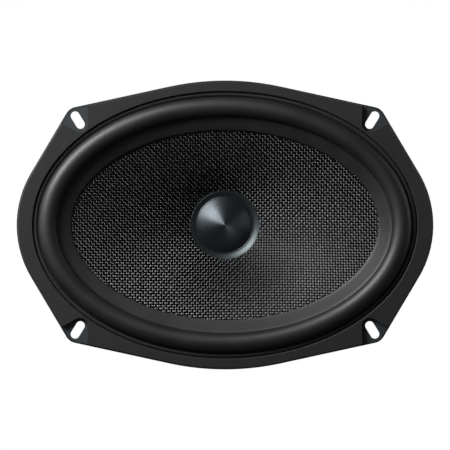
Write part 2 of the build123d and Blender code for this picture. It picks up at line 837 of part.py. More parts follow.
with BuildPart() as tweeter_suspension:
    ring(housing_front, suspension_thickness, housing_radius, tweeter_former_outer + tweeter_gap_clearance)
finish(tweeter_suspension.part, "tweeter_suspension")

with BuildPart() as tweeter_coil_former:
    ring(
        bezel_rear_depth + tweeter_former_length,
        tweeter_former_length,
        tweeter_former_outer,
        tweeter_former_radius,
    )
finish(tweeter_coil_former.part, "tweeter_coil_former")

with BuildPart() as tweeter_coil_winding:
    winding_centre = (tweeter_plate_front + tweeter_plate_rear) / 2
    ring(
        winding_centre + tweeter_winding_length / 2,
        tweeter_winding_length,
        tweeter_winding_outer,
        tweeter_former_outer,
    )
finish(tweeter_coil_winding.part, "tweeter_coil_winding")

# Tweeter feed: leads down the post, along the groove in the back plate and past the magnet to the terminals
groove_depth = motor_rear - wire_groove_depth + wire_diameter + wire_groove_clearance
capacitor_rear_depth = capacitor_front_depth + capacitor_length
blade_lug_z = heel_z + blade_foot_length - wire_diameter
post_run = [
    (0.9, groove_depth, -31.0),
    (1.15, groove_depth, -16.0),
    (0.9, groove_depth, 0.0),
    (0.85, 54.0, 0.1),
    (0.95, 30.0, -0.1),
    (0.9, housing_floor_rear, 0.0),
]
with BuildPart() as tweeter_lead_negative:
    wire(
        [
            (-blade_spacing / 2, blade_rear, blade_lug_z),
            (-blade_spacing / 2, 52.0, blade_lug_z),
            (-7.4, 61.0, -51.6),
            (-3.8, 69.5, -51.2),
            (-1.4, 76.4, -48.8),
            (-1.0, groove_depth, -41.5),
        ]
        + [(-x, y, z) for x, y, z in post_run],
        wire_diameter,
        "tweeter_lead_negative",
    )
finish(tweeter_lead_negative.part, "tweeter_lead_negative")

with BuildPart() as tweeter_lead_positive:
    wire(
        [
            (capacitor_x, capacitor_rear_depth, capacitor_z),
            (capacitor_x, 73.3, capacitor_z),
            (2.7, 77.2, -48.6),
            (1.0, groove_depth, -43.8),
        ]
        + post_run,
        wire_diameter,
        "tweeter_lead_positive",
    )
finish(tweeter_lead_positive.part, "tweeter_lead_positive")

with BuildPart() as capacitor_link:
    wire(
        [
            (blade_spacing / 2, blade_rear, blade_lug_z),
            (blade_spacing / 2, 47.6, blade_lug_z),
            (capacitor_x, 51.7, capacitor_z),
            (capacitor_x, capacitor_front_depth, capacitor_z),
        ],
        wire_diameter,
        "capacitor_link",
    )
finish(capacitor_link.part, "capacitor_link")

with BuildPart() as crossover_capacitor:
    with BuildSketch(facing(capacitor_rear_depth)):
        with Locations((capacitor_x, capacitor_z)):
            Circle(capacitor_radius)
    extrude(amount=capacitor_length)
    fillet(crossover_capacitor.edges().filter_by(GeomType.CIRCLE), capacitor_end_radius)
finish(crossover_capacitor.part, "crossover_capacitor")

with BuildPart() as capacitor_adhesive:
    with BuildSketch(facing((capacitor_front_depth + capacitor_rear_depth + adhesive_length) / 2)):
        with Locations((capacitor_x, capacitor_z)):
            Rectangle(adhesive_width, capacitor_diameter, align=(Align.CENTER, Align.MIN))
        Circle(magnet_radius, mode=Mode.SUBTRACT)
        with Locations((capacitor_x, capacitor_z)):
            Circle(capacitor_radius, mode=Mode.SUBTRACT)
    extrude(amount=adhesive_length)
finish(capacitor_adhesive.part, "capacitor_adhesive")
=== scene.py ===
import math
import bpy
import numpy as np
from mathutils import Matrix, Vector


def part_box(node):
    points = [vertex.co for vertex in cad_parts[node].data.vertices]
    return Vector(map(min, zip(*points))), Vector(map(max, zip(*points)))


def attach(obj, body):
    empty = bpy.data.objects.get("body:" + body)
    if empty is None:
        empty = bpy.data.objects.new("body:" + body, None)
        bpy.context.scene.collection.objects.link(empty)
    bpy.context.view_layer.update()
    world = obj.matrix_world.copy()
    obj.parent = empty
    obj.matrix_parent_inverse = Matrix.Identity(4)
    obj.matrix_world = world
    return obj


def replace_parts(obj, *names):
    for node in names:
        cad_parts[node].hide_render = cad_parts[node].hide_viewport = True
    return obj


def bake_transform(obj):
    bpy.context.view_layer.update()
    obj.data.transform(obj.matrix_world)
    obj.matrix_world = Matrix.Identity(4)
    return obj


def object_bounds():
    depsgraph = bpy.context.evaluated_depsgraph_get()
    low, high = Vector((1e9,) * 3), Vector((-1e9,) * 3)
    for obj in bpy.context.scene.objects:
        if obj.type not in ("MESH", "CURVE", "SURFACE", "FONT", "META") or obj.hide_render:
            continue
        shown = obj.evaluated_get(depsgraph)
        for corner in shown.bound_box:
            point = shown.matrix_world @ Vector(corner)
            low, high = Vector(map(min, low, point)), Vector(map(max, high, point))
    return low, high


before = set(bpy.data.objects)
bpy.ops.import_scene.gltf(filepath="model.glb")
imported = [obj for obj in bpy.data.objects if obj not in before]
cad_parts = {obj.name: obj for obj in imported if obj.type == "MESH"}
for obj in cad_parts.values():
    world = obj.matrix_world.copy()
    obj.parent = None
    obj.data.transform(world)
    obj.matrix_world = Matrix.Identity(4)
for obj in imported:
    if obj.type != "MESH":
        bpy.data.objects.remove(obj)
cadBounds = [list(corner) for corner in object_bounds()]
print("frame loaded with", len(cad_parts), "nodes")

mm = 0.001
quarterTurn = 0.25  # turns a shader's shine across its tangent
bpy.context.scene.view_settings.view_transform = "Standard"


# Small helpers for selecting, finishing and spinning pieces

def deselectAll():
    if bpy.context.mode != "OBJECT":
        bpy.ops.object.mode_set(mode="OBJECT")
    bpy.ops.object.select_all(action="DESELECT")


def editAll():
    bpy.ops.object.mode_set(mode="EDIT")
    bpy.ops.mesh.select_mode(type="VERT")
    bpy.ops.mesh.select_all(action="SELECT")


def finishPiece(piece, name, material, body, smoothAngle=40):
    deselectAll()
    piece.select_set(True)
    bpy.context.view_layer.objects.active = piece
    bpy.ops.object.shade_smooth_by_angle(angle=math.radians(smoothAngle))
    piece.name = name
    piece.data.name = name
    piece.data.materials.clear()
    piece.data.materials.append(material)
    if body:
        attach(piece, body)
    return piece


def spunPiece(profile, steps):
    # One vertex is pulled along the profile (radius, depth) and the line is spun round the speaker's axis
    deselectAll()
    bpy.ops.mesh.primitive_plane_add(size=mm)
    piece = bpy.context.object
    editAll()
    bpy.ops.mesh.merge(type="CENTER")
    bpy.ops.mesh.select_all(action="SELECT")
    bpy.ops.transform.translate(value=(profile[0][0], profile[0][1], 0))
    for here, there in zip(profile, profile[1:]):
        step = (there[0] - here[0], there[1] - here[1], 0)
        bpy.ops.mesh.extrude_region_move(TRANSFORM_OT_translate={"value": step})
    bpy.ops.mesh.select_all(action="SELECT")
    bpy.ops.mesh.spin(steps=steps, angle=2 * math.pi, center=(0, 0, 0), axis=(0, 1, 0))
    bpy.ops.mesh.select_all(action="SELECT")
    bpy.ops.mesh.remove_doubles(threshold=1e-6)
    bpy.ops.mesh.normals_make_consistent(inside=False)
    bpy.ops.object.mode_set(mode="OBJECT")
    return piece


def ovalPiece(profile, halfWidth, halfHeight, steps):
    # A closed profile (outward, depth) swept square to an oval path, from a grid rolled up along it
    deselectAll()
    rows = len(profile)
    bpy.ops.mesh.primitive_grid_add(x_subdivisions=steps, y_subdivisions=rows - 1, size=1)
    piece = bpy.context.object
    turn = np.linspace(0, 2 * np.pi, steps + 1)
    pathX, pathZ = halfWidth * np.cos(turn), halfHeight * np.sin(turn)
    normalX, normalZ = halfHeight * np.cos(turn), halfWidth * np.sin(turn)
    length = np.hypot(normalX, normalZ)
    outward, depth = np.array(profile).T
    points = np.empty((rows, steps + 1, 3))
    points[..., 0] = pathX + outward[:, None] * normalX / length
    points[..., 1] = depth[:, None]
    points[..., 2] = pathZ + outward[:, None] * normalZ / length
    piece.data.vertices.foreach_set("co", points.ravel())
    piece.data.update()
    editAll()
    bpy.ops.mesh.remove_doubles(threshold=1e-7)
    bpy.ops.mesh.normals_make_consistent(inside=False)
    bpy.ops.object.mode_set(mode="OBJECT")
    return piece


def arcPoints(centre, radii, start, end, count):
    angles = np.radians(np.linspace(start, end, count))
    return [(centre[0] + radii[0] * math.cos(a), centre[1] + radii[1] * math.sin(a)) for a in angles]


def vertexPlaces(piece):
    places = np.empty(len(piece.data.vertices) * 3)
    piece.data.vertices.foreach_get("co", places)
    return places.reshape(-1, 3)


def blendByShare(piece, share):
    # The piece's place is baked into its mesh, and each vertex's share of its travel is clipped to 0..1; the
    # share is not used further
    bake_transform(piece)
    share = np.clip(share, 0, 1)


# Materials, built from a few shared node helpers

def startMaterial(name):
    material = bpy.data.materials.new(name)
    material.use_nodes = True
    nodes, links = material.node_tree.nodes, material.node_tree.links
    return material, nodes, links, nodes["Principled BSDF"]


def patternPlace(nodes, links, stretch=(1, 1, 1)):
    coordinates = nodes.new("ShaderNodeTexCoord")
    mapping = nodes.new("ShaderNodeMapping")
    mapping.inputs["Scale"].default_value = stretch
    links.new(coordinates.outputs["Object"], mapping.inputs["Vector"])
    return mapping.outputs["Vector"]


def noiseOf(nodes, links, place, scale, detail=3, rough=0.6):
    noise = nodes.new("ShaderNodeTexNoise")
    noise.inputs["Scale"].default_value = scale
    noise.inputs["Detail"].default_value = detail
    noise.inputs["Roughness"].default_value = rough
    links.new(place, noise.inputs["Vector"])
    return noise.outputs["Fac"]


def rampOf(nodes, links, factor, low, high, start=0.3, end=0.7):
    ramp = nodes.new("ShaderNodeValToRGB")
    ramp.color_ramp.elements[0].position = start
    ramp.color_ramp.elements[1].position = end
    ramp.color_ramp.elements[0].color = (*low, 1)
    ramp.color_ramp.elements[1].color = (*high, 1)
    links.new(factor, ramp.inputs["Fac"])
    return ramp.outputs["Color"]


def spanOf(nodes, links, factor, low, high):
    span = nodes.new("ShaderNodeMapRange")
    span.inputs["From Min"].default_value = 0.3
    span.inputs["From Max"].default_value = 0.7
    span.inputs["To Min"].default_value = low
    span.inputs["To Max"].default_value = high
    links.new(factor, span.inputs["Value"])
    return span.outputs["Result"]


def bumpOf(nodes, links, height, distance, strength=1.0, below=None):
    bump = nodes.new("ShaderNodeBump")
    bump.inputs["Distance"].default_value = distance
    bump.inputs["Strength"].default_value = strength
    links.new(height, bump.inputs["Height"])
    if below is not None:
        links.new(below, bump.inputs["Normal"])
    return bump.outputs["Normal"]


def grainMaterial(name, look):
    # Fine grain with a slow change of tone over it; stretch draws the grain out into brushed lines
    material, nodes, links, shader = startMaterial(name)
    stretched = patternPlace(nodes, links, look.get("stretch", (1, 1, 1)))
    fine = noiseOf(nodes, links, stretched, look["grain"])
    slow = noiseOf(nodes, links, patternPlace(nodes, links), look.get("cloud", 60))
    mixed = nodes.new("ShaderNodeMath")
    mixed.operation = "MULTIPLY_ADD"
    mixed.inputs[1].default_value = 0.5
    links.new(slow, mixed.inputs[0])
    half = nodes.new("ShaderNodeMath")
    half.operation = "MULTIPLY"
    half.inputs[1].default_value = 0.5
    links.new(fine, half.inputs[0])
    links.new(half.outputs[0], mixed.inputs[2])
    tone = rampOf(nodes, links, mixed.outputs[0], look["dark"], look["light"])
    links.new(tone, shader.inputs["Base Color"])
    links.new(spanOf(nodes, links, mixed.outputs[0], *look["roughness"]), shader.inputs["Roughness"])
    links.new(bumpOf(nodes, links, fine, look["bump"]), shader.inputs["Normal"])
    shader.inputs["Metallic"].default_value = look.get("metallic", 0)
    shader.inputs["Specular IOR Level"].default_value = look.get("specular", 0.5)
    if "coat" in look:
        shader.inputs["Coat Weight"].default_value = look["coat"]
        shader.inputs["Coat Roughness"].default_value = look.get("coatRoughness", 0.15)
    return material


grainLooks = {
    "powderCoat": {"grain": 2600, "cloud": 45, "dark": (0.021, 0.026, 0.029),
                   "light": (0.040, 0.047, 0.052), "roughness": (0.36, 0.48), "bump": 0.00006},
    # The hem's near-black tone is painted shade for the flange's rounded edge turning away from the light
    "hemEdgeShade": {"grain": 2600, "dark": (0.006, 0.007, 0.007), "light": (0.013, 0.014, 0.015),
                 "roughness": (0.35, 0.5), "bump": 0.00003, "specular": 0.3},
    "gasketRubber": {"grain": 3200, "cloud": 30, "dark": (0.0135, 0.0138, 0.0140),
                     "light": (0.0180, 0.0183, 0.0186), "roughness": (0.50, 0.62), "bump": 0.00005,
                     "specular": 0.4},
    "phenolic": {"grain": 900, "dark": (0.10, 0.048, 0.022), "light": (0.17, 0.085, 0.040),
                 "roughness": (0.4, 0.55), "bump": 0.00004, "stretch": (0.15, 1, 1)},
    "tinPlate": {"grain": 1500, "dark": (0.52, 0.51, 0.48), "light": (0.70, 0.69, 0.66),
                 "roughness": (0.22, 0.36), "bump": 0.00002, "metallic": 1, "stretch": (1, 0.1, 1)},
    "rivetBrass": {"grain": 1500, "dark": (0.45, 0.33, 0.14), "light": (0.66, 0.51, 0.25),
                   "roughness": (0.25, 0.4), "bump": 0.00002, "metallic": 1},
    "zincPlate": {"grain": 1400, "cloud": 80, "dark": (0.30, 0.31, 0.33), "light": (0.46, 0.47, 0.49),
                  "roughness": (0.28, 0.42), "bump": 0.00003, "metallic": 1},
    "ferriteBlock": {"grain": 1300, "cloud": 50, "dark": (0.022, 0.022, 0.024),
                     "light": (0.058, 0.058, 0.062), "roughness": (0.55, 0.78), "bump": 0.0001},
    "bareCopper": {"grain": 1400, "dark": (0.52, 0.22, 0.11), "light": (0.74, 0.36, 0.2),
                   "roughness": (0.25, 0.4), "bump": 0.00002, "metallic": 1},
    "blackAnodised": {"grain": 2000, "dark": (0.014, 0.014, 0.015), "light": (0.028, 0.028, 0.030),
                      "roughness": (0.32, 0.45), "bump": 0.00002, "metallic": 0.6,
                      "stretch": (1, 0.15, 1)},
    "podPlastic": {"grain": 1800, "dark": (0.010, 0.010, 0.011), "light": (0.019, 0.019, 0.020),
                   "roughness": (0.5, 0.64), "bump": 0.00006},
    "nickelPlate": {"grain": 1500, "dark": (0.55, 0.53, 0.5), "light": (0.66, 0.64, 0.6),
                    "roughness": (0.15, 0.25), "bump": 0.00001, "metallic": 1},
    "wireBlack": {"grain": 2500, "dark": (0.008, 0.008, 0.008), "light": (0.018, 0.018, 0.018),
                  "roughness": (0.38, 0.5), "bump": 0.00003},
    "wireRed": {"grain": 2500, "dark": (0.30, 0.012, 0.008), "light": (0.42, 0.025, 0.014),
                "roughness": (0.38, 0.5), "bump": 0.00003},
    "capacitorSleeve": {"grain": 1500, "dark": (0.010, 0.026, 0.085), "light": (0.016, 0.04, 0.12),
                        "roughness": (0.2, 0.32), "bump": 0.00003, "coat": 0.4},
    "adhesiveBead": {"grain": 600, "dark": (0.40, 0.30, 0.13), "light": (0.58, 0.46, 0.24),
                     "roughness": (0.3, 0.5), "bump": 0.0002},
    "formerFoil": {"grain": 1600, "dark": (0.55, 0.55, 0.56), "light": (0.72, 0.72, 0.73),
                   "roughness": (0.2, 0.34), "bump": 0.00003, "metallic": 1},
    "solderJoint": {"grain": 900, "dark": (0.42, 0.42, 0.42), "light": (0.66, 0.66, 0.66),
                    "roughness": (0.2, 0.4), "bump": 0.00006, "metallic": 1},
    "filmSuspension": {"grain": 1500, "dark": (0.012, 0.012, 0.013), "light": (0.02, 0.02, 0.021),
                       "roughness": (0.25, 0.4), "bump": 0.00002},
}
grainMaterials = {name: grainMaterial(name, look) for name, look in grainLooks.items()}


def rubberMaterial():
    # Satin moulded rubber of the roll: soft sheen, faint flow marks and a fine bloom
    look = {"dark": (0.0068, 0.0068, 0.0068), "light": (0.0105, 0.0105, 0.0105),
            "roughness": (0.46, 0.54), "flow": 35, "bloom": 2800, "bump": 0.00004, "specular": 0.65}
    material, nodes, links, shader = startMaterial("surroundRubber")
    place = patternPlace(nodes, links)
    slow = noiseOf(nodes, links, place, look["flow"])
    fine = noiseOf(nodes, links, place, look["bloom"], 2)
    links.new(rampOf(nodes, links, slow, look["dark"], look["light"]), shader.inputs["Base Color"])
    links.new(spanOf(nodes, links, slow, *look["roughness"]), shader.inputs["Roughness"])
    links.new(bumpOf(nodes, links, fine, look["bump"]), shader.inputs["Normal"])
    shader.inputs["Specular IOR Level"].default_value = look["specular"]
    return material


def yarnMaterial(name, filaments):
    # Glossy yarn, shaded as metal so that its shine spreads across the filaments of the strip's map; its
    # colour is darkened by the crown attribute where the yarn dives and at its edges, which is painted shade
    look = {"dark": (0.020, 0.020, 0.021), "light": (0.125, 0.127, 0.131), "roughness": (0.5, 0.44),
            "patches": 0.1, "patchScale": 260, "slubs": 60, "bump": 0.00004, "anisotropic": 0.97}
    material, nodes, links, shader = startMaterial(name)
    strip = nodes.new("ShaderNodeUVMap")
    strip.uv_map = "UVMap"
    mapping = nodes.new("ShaderNodeMapping")
    mapping.inputs["Scale"].default_value = (look["slubs"], filaments, 1)
    links.new(strip.outputs["UV"], mapping.inputs["Vector"])
    filament = noiseOf(nodes, links, mapping.outputs["Vector"], 1, 2)
    slow = noiseOf(nodes, links, patternPlace(nodes, links), look["patchScale"], 2)
    crown = nodes.new("ShaderNodeAttribute")
    crown.attribute_name = "crown"
    # Random patches plus the crown: the crown darkens the dives and the yarn's edges as painted shade
    patchesAndShade = nodes.new("ShaderNodeMath")
    patchesAndShade.operation = "MULTIPLY_ADD"
    links.new(slow, patchesAndShade.inputs[0])
    patchesAndShade.inputs[1].default_value = look["patches"]
    links.new(crown.outputs["Fac"], patchesAndShade.inputs[2])
    tone = rampOf(nodes, links, patchesAndShade.outputs[0], look["dark"], look["light"])
    links.new(tone, shader.inputs["Base Color"])
    links.new(spanOf(nodes, links, crown.outputs["Fac"], *look["roughness"]), shader.inputs["Roughness"])
    links.new(bumpOf(nodes, links, filament, look["bump"]), shader.inputs["Normal"])
    tangent = nodes.new("ShaderNodeTangent")
    tangent.direction_type = "UV_MAP"
    tangent.uv_map = "UVMap"
    links.new(tangent.outputs[0], shader.inputs["Tangent"])
    shader.inputs["Metallic"].default_value = 1
    shader.inputs["Anisotropic"].default_value = look["anisotropic"]
    shader.inputs["Anisotropic Rotation"].default_value = quarterTurn
    return material


def weavePattern(nodes, links, pitch):
    # Plain cloth: two crossed waves, each thread over one and under one
    place = patternPlace(nodes, links)
    parts = nodes.new("ShaderNodeSeparateXYZ")
    links.new(place, parts.inputs[0])
    waves = []
    for axis in ("X", "Z"):
        turned = nodes.new("ShaderNodeMath")
        turned.operation = "MULTIPLY"
        turned.inputs[1].default_value = math.pi / pitch
        links.new(parts.outputs[axis], turned.inputs[0])
        wave = nodes.new("ShaderNodeMath")
        wave.operation = "SINE"
        links.new(turned.outputs[0], wave.inputs[0])
        waves.append(wave.outputs[0])
    crossed = nodes.new("ShaderNodeMath")
    crossed.operation = "MULTIPLY"
    links.new(waves[0], crossed.inputs[0])
    links.new(waves[1], crossed.inputs[1])
    return crossed.outputs[0]


def clothMaterial(name, look):
    material, nodes, links, shader = startMaterial(name)
    weave = weavePattern(nodes, links, look["pitch"])
    fine = noiseOf(nodes, links, patternPlace(nodes, links), look["grain"], 2)
    lifted = nodes.new("ShaderNodeMapRange")
    lifted.inputs["From Min"].default_value = -1
    links.new(weave, lifted.inputs["Value"])
    tone = rampOf(nodes, links, lifted.outputs["Result"], look["dark"], look["light"], 0.1, 0.9)
    links.new(tone, shader.inputs["Base Color"])
    links.new(spanOf(nodes, links, fine, *look["roughness"]), shader.inputs["Roughness"])
    under = bumpOf(nodes, links, lifted.outputs["Result"], look["depth"])
    links.new(bumpOf(nodes, links, fine, look["grainDepth"], 1.0, under), shader.inputs["Normal"])
    shader.inputs["Specular IOR Level"].default_value = look["specular"]
    return material


def turnedMetal(name, look):
    # Metal turned on a lathe: fine rings round the axis, which draw the highlight out into a wedge
    material, nodes, links, shader = startMaterial(name)
    place = patternPlace(nodes, links)
    parts = nodes.new("ShaderNodeSeparateXYZ")
    links.new(place, parts.inputs[0])
    flat = nodes.new("ShaderNodeCombineXYZ")
    links.new(parts.outputs["X"], flat.inputs["X"])
    links.new(parts.outputs["Z"], flat.inputs["Z"])
    radius = nodes.new("ShaderNodeVectorMath")
    radius.operation = "LENGTH"
    links.new(flat.outputs[0], radius.inputs[0])
    ringPlace = nodes.new("ShaderNodeCombineXYZ")
    links.new(radius.outputs["Value"], ringPlace.inputs["X"])
    rings = noiseOf(nodes, links, ringPlace.outputs[0], look["rings"], 4, 0.7)
    grain = noiseOf(nodes, links, place, look["grain"], 2)
    links.new(rampOf(nodes, links, rings, look["dark"], look["light"]), shader.inputs["Base Color"])
    links.new(spanOf(nodes, links, grain, *look["roughness"]), shader.inputs["Roughness"])
    under = bumpOf(nodes, links, rings, look["ringDepth"])
    links.new(bumpOf(nodes, links, grain, look["grainDepth"], 1.0, under), shader.inputs["Normal"])
    shader.inputs["Metallic"].default_value = 1
    shader.inputs["Anisotropic"].default_value = look["anisotropic"]
    shader.inputs["Anisotropic Rotation"].default_value = quarterTurn
    tangent = nodes.new("ShaderNodeTangent")
    tangent.direction_type = "RADIAL"
    tangent.axis = "Y"
    links.new(tangent.outputs[0], shader.inputs["Tangent"])
    return material


surroundRubber = rubberMaterial()
filamentCounts = {"across": 420, "upright": 680}
yarnAcross = yarnMaterial("yarnAcross", filamentCounts["across"])
yarnUpright = yarnMaterial("yarnUpright", filamentCounts["upright"])
# The backing bowl's cloth is nearly black so the gaps between the yarns read dark: painted shade in the gaps
coneBack = clothMaterial("coneBack", {"pitch": 1.5 * mm, "dark": (0.0015, 0.0015, 0.0017),
                                      "light": (0.004, 0.004, 0.0045), "roughness": (0.6, 0.7),
                                      "depth": 0.00015, "grain": 1800, "grainDepth": 0.00004,
                                      "specular": 0.08})
spiderCloth = clothMaterial("spiderCloth", {"pitch": 0.9 * mm, "dark": (0.20, 0.13, 0.035),
                                            "light": (0.42, 0.29, 0.09), "roughness": (0.6, 0.8),
                                            "depth": 0.00012, "grain": 1800, "grainDepth": 0.00004,
                                            "specular": 0.5})
domeMetal = turnedMetal("domeMetal", {"rings": 5200, "grain": 3800, "dark": (0.083, 0.093, 0.102),
                                      "light": (0.12, 0.134, 0.143), "roughness": (0.44, 0.54),
                                      "ringDepth": 0.000008, "grainDepth": 0.00001, "anisotropic": 0.75})
bezelMetal = turnedMetal("bezelMetal", {"rings": 3000, "grain": 3800, "dark": (0.065, 0.077, 0.081),
                                        "light": (0.095, 0.11, 0.114), "roughness": (0.44, 0.52),
                                        "ringDepth": 0.000006, "grainDepth": 0.000012, "anisotropic": 0.3})
coilCopper = turnedMetal("coilCopper", {"rings": 900, "grain": 2000, "dark": (0.35, 0.12, 0.05),
                                        "light": (0.62, 0.27, 0.12), "roughness": (0.25, 0.35),
                                        "ringDepth": 0.000006, "grainDepth": 0.000006, "anisotropic": 0.3})
turnedSteel = turnedMetal("turnedSteel", {"rings": 1800, "grain": 1500, "dark": (0.26, 0.27, 0.28),
                                          "light": (0.42, 0.43, 0.44), "roughness": (0.26, 0.38),
                                          "ringDepth": 0.000008, "grainDepth": 0.00001, "anisotropic": 0.5})
print("materials made")

cadMaterials = {
    "basket": grainMaterials["powderCoat"],
    "front_gasket": grainMaterials["gasketRubber"],
    "terminal_board": grainMaterials["phenolic"],
    "terminal_blade_positive": grainMaterials["tinPlate"],
    "terminal_blade_negative": grainMaterials["tinPlate"],
    "terminal_rivets": grainMaterials["rivetBrass"],
    "top_plate": turnedSteel,
    "back_plate": turnedSteel,
    "basket_rivets": grainMaterials["zincPlate"],
    "ferrite_magnet": grainMaterials["ferriteBlock"],
    "pole_cap": grainMaterials["bareCopper"],
    "tweeter_post": grainMaterials["blackAnodised"],
    "post_nut": grainMaterials["zincPlate"],
    "tweeter_housing": grainMaterials["podPlastic"],
    "tweeter_pole_cup": grainMaterials["zincPlate"],
    "tweeter_magnet": grainMaterials["nickelPlate"],
    "tweeter_top_plate": grainMaterials["zincPlate"],
    "tweeter_lead_negative": grainMaterials["wireBlack"],
    "tweeter_lead_positive": grainMaterials["wireRed"],
    "capacitor_link": grainMaterials["wireRed"],
    "crossover_capacitor": grainMaterials["capacitorSleeve"],
    "capacitor_adhesive": grainMaterials["adhesiveBead"],
    "voice_coil_former": grainMaterials["formerFoil"],
    "voice_coil_winding": coilCopper,
    "lead_pads": grainMaterials["solderJoint"],
    "tweeter_suspension": grainMaterials["filmSuspension"],
    "tweeter_coil_former": grainMaterials["formerFoil"],
    "tweeter_coil_winding": coilCopper,
}
for node, material in cadMaterials.items():
    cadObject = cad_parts[node]
    cadObject.data.materials.clear()
    cadObject.data.materials.append(material)


# Camera, at the distance where the flange takes up its share of the frame

camera = {"lens": 200, "sensor": 36, "flangeShareOfFrame": 0.9247}
flangeLow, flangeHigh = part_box("basket")
flangeWidth = flangeHigh[0] - flangeLow[0]
cameraData = bpy.data.cameras.new("camera")
cameraData.lens = camera["lens"]
cameraData.sensor_width = camera["sensor"]
cameraObject = bpy.data.objects.new("camera", cameraData)
bpy.context.collection.objects.link(cameraObject)
viewWidth = flangeWidth / camera["flangeShareOfFrame"]
cameraObject.location = (0, -viewWidth * camera["lens"] / camera["sensor"], 0)
cameraObject.rotation_euler = (math.radians(90), 0, 0)
bpy.context.scene.camera = cameraObject


# Surround: half roll with a flat outer lip and a sloping inner lip

surround = {"lip": 2.4 * mm, "thickness": 0.7 * mm, "rollWidth": 11.5 * mm, "rollHeight": 5.2 * mm,
            "innerLip": 7.5 * mm, "innerFall": 2.4 * mm, "beadHeight": 0.9 * mm, "beadEdge": 0.18 * mm,
            "beadFoot": (0.62 * mm, 0.44 * mm, 0.36 * mm), "rollFoot": (0.10 * mm, 0.02 * mm),
            "innerBend": ((0.15 * mm, -0.02 * mm), (0.4 * mm, 0.10 * mm), (0.7 * mm, 0.24 * mm)),
            "lipBreak": 0.1 * mm, "pathPoints": 2880, "steps": 288, "rollPoints": 26}
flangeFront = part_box("front_gasket")[1][1]
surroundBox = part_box("surround")
rollHalfWidth = surroundBox[1][0] - surround["lip"]
rollHalfHeight = surroundBox[1][2] - surround["lip"]


def surroundProfile():
    wall, front = surround["thickness"], flangeFront - surround["thickness"]
    middle = -surround["rollWidth"] / 2
    edge, beadFoot, rollFoot = surround["beadEdge"], surround["beadFoot"], surround["rollFoot"]
    inner = -surround["rollWidth"] - surround["innerLip"]
    crown = front - surround["beadHeight"]
    points = [(surround["lip"], flangeFront - edge), (surround["lip"], crown + edge),
              (surround["lip"] - edge, crown), (beadFoot[0], crown), (beadFoot[1], crown + edge),
              (beadFoot[2], front), (rollFoot[0], front - rollFoot[1])]
    points += arcPoints((middle, front), (-middle, surround["rollHeight"]), -4, -176, surround["rollPoints"])
    points += [(2 * middle - inward, front + fall) for inward, fall in surround["innerBend"]]
    for share in (0.25, 0.5, 0.75, 0.95):
        points.append((2 * middle + (inner - 2 * middle) * share, front + surround["innerFall"] * share))
    points += [(inner, front + surround["innerFall"] + surround["lipBreak"]),
               (inner, front + surround["innerFall"] + wall)]
    rearFoot = (2 * middle + wall, flangeFront)
    for share in (0.75, 0.5, 0.25, 0):
        points.append((rearFoot[0] + (inner - rearFoot[0]) * share,
                       rearFoot[1] + (front + surround["innerFall"] + wall - rearFoot[1]) * share))
    rearRadii = (-middle - wall, surround["rollHeight"] - wall * 1.5)
    points += arcPoints((middle, flangeFront), rearRadii, -176, -4, surround["rollPoints"])
    points += [(-wall, flangeFront), (surround["lip"], flangeFront)]
    points.append(points[0])
    return points


surroundPiece = ovalPiece(surroundProfile(), rollHalfWidth, rollHalfHeight, surround["steps"])
finishPiece(surroundPiece, "surroundRoll", surroundRubber, None, 60)
surroundPlaces = vertexPlaces(surroundPiece)


def outwardOf(places):
    # How far each place lies outside the oval of the roll's outer foot
    turn = np.linspace(0, 2 * np.pi, surround["pathPoints"], endpoint=False)
    path = np.column_stack((rollHalfWidth * np.cos(turn), rollHalfHeight * np.sin(turn)))
    outside = (places[:, 0] / rollHalfWidth) ** 2 + (places[:, 2] / rollHalfHeight) ** 2 > 1
    flat = places[:, (0, 2)]
    nearest = np.full(len(flat), np.inf)
    for part in np.array_split(path, 24):
        gap = np.hypot(flat[:, None, 0] - part[None, :, 0], flat[:, None, 1] - part[None, :, 1])
        nearest = np.minimum(nearest, gap.min(axis=1))
    return np.where(outside, nearest, -nearest)


blendByShare(surroundPiece, -outwardOf(surroundPlaces) / surround["rollWidth"])
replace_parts(surroundPiece, "surround")
print("surround made")


# Cone: backing bowl, and real crossed yarns laid on it

cone = {"wall": 0.9 * mm, "overlap": 0.6 * mm, "straight": 0.75, "pitch": 1.5 * mm, "yarnHalf": 0.50 * mm,
        "yarnArch": 0.24 * mm, "wave": 0.30 * mm, "sink": 0.05 * mm, "backGap": 0.5 * mm,
        "knots": 6, "floatFlatness": 2.5, "swell": 0.10, "yarnEdgeShade": 0.6,
        "stripPlaces": (-1, -0.45, 0.45, 1), "rimReach": 0.012, "neckGap": 0.3 * mm,
        "steps": 256, "rings": 48, "outermost": -0.12, "halvings": 36,
        "drift": 0.35 * mm, "driftRuns": (17 * mm, 23 * mm, 19 * mm), "driftPhase": 0.6, "driftUp": 0.8}
glueRim = {"outset": 0.9 * mm, "inset": 0.6 * mm, "gap": 0.02 * mm, "steps": 192}
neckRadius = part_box("voice_coil_former")[1][0]
mouthDepth = flangeFront - surround["thickness"] + surround["innerFall"] + surround["thickness"]
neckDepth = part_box("voice_coil_former")[0][1]
mouthOffset = surround["rollWidth"] + surround["innerLip"] - cone["overlap"]
mouthHalfWidth = rollHalfWidth - mouthOffset
mouthHalfHeight = rollHalfHeight - mouthOffset


def coneShare(x, z):
    # Where between the oval mouth (0) and the round neck (1) a place on the cone lies
    low, high = np.full(x.shape, cone["outermost"]), np.full(x.shape, 1.0)
    for _ in range(cone["halvings"]):
        middle = (low + high) / 2
        wide = mouthHalfWidth + (neckRadius - mouthHalfWidth) * middle
        tall = mouthHalfHeight + (neckRadius - mouthHalfHeight) * middle
        outside = (x / wide) ** 2 + (z / tall) ** 2 > 1
        high = np.where(outside, middle, high)
        low = np.where(outside, low, middle)
    return (low + high) / 2


def coneDepth(share):
    fall = neckDepth - mouthDepth
    return mouthDepth + fall * share * (cone["straight"] + (1 - cone["straight"]) * share)


